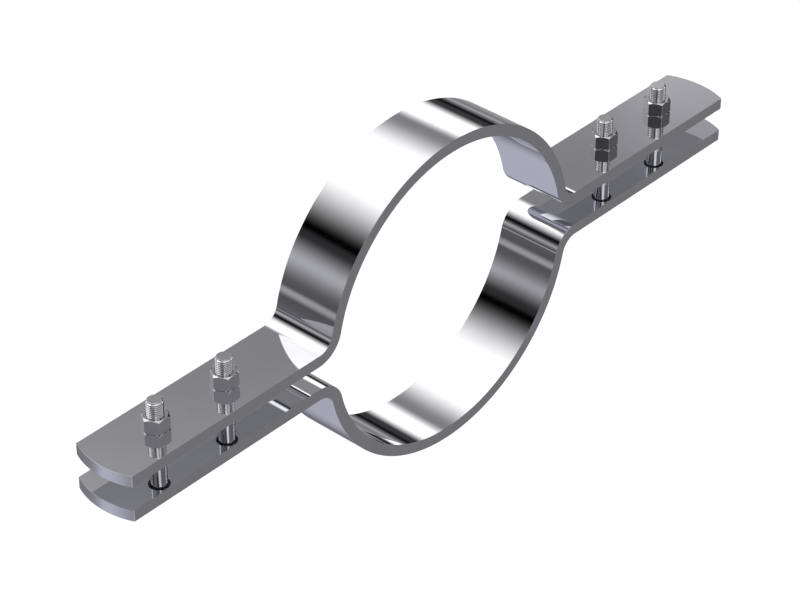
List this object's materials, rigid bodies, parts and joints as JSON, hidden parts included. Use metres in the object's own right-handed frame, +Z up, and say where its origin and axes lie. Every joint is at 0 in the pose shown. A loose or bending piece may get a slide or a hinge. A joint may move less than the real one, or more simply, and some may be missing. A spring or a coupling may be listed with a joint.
{
  "type": "pipe clamp",
  "caption": "Pipe clamp of two bent flat bars, each a half ring with long ears, drawn together round a pipe by bolts and nuts through the ears.",
  "frame": {"origin": "centre of the pipe seat: on the pipe's axis, half way along the bar's width, half way up the gap between the ears", "axes": "+X along the ears to the right, +Y along the pipe, away from the side that the picture shows, +Z up, towards the nuts"},
  "size_m": [0.846, 0.07, 0.3388],
  "materials": {
    "clamp_steel": "polished",
    "bolt_steel": "polished",
    "nut_steel": "polished"
  },
  "bodies": {
    "lower_body": {"lower_half": "clamp_steel", "bolt_left_outer": "bolt_steel", "bolt_left_inner": "bolt_steel", "bolt_right_inner": "bolt_steel", "bolt_right_outer": "bolt_steel"},
    "upper_body": {"upper_half": "clamp_steel"},
    "nut_left_outer_body": {"nut_left_outer": "nut_steel"},
    "nut_left_inner_body": {"nut_left_inner": "nut_steel"},
    "nut_right_inner_body": {"nut_right_inner": "nut_steel"},
    "nut_right_outer_body": {"nut_right_outer": "nut_steel"}
  },
  "joints": [
    {"name": "clamp_slide", "type": "slide", "parent": "lower_body", "child": "upper_body", "axis": [0, 0, 1], "range_m": [-0.006, 0.015]},
    {"name": "nut_left_outer_turn", "type": "hinge", "parent": "upper_body", "child": "nut_left_outer_body", "pos_m": [-0.353, 0, 0.02475], "axis": [0, 0, 1], "range_deg": [-1080, 2700]},
    {"name": "nut_left_inner_turn", "type": "hinge", "parent": "upper_body", "child": "nut_left_inner_body", "pos_m": [-0.268, 0, 0.02475], "axis": [0, 0, 1], "range_deg": [-1080, 2700]},
    {"name": "nut_right_inner_turn", "type": "hinge", "parent": "upper_body", "child": "nut_right_inner_body", "pos_m": [0.268, 0, 0.02475], "axis": [0, 0, 1], "range_deg": [-1080, 2700]},
    {"name": "nut_right_outer_turn", "type": "hinge", "parent": "upper_body", "child": "nut_right_outer_body", "pos_m": [0.353, 0, 0.02475], "axis": [0, 0, 1], "range_deg": [-1080, 2700]}
  ],
  "couplings": [
    {"joint": "nut_left_outer_turn", "follows": "clamp_slide", "rad_per_m": 3141.6},
    {"joint": "nut_left_inner_turn", "follows": "clamp_slide", "rad_per_m": 3141.6},
    {"joint": "nut_right_inner_turn", "follows": "clamp_slide", "rad_per_m": 3141.6},
    {"joint": "nut_right_outer_turn", "follows": "clamp_slide", "rad_per_m": 3141.6}
  ]
}
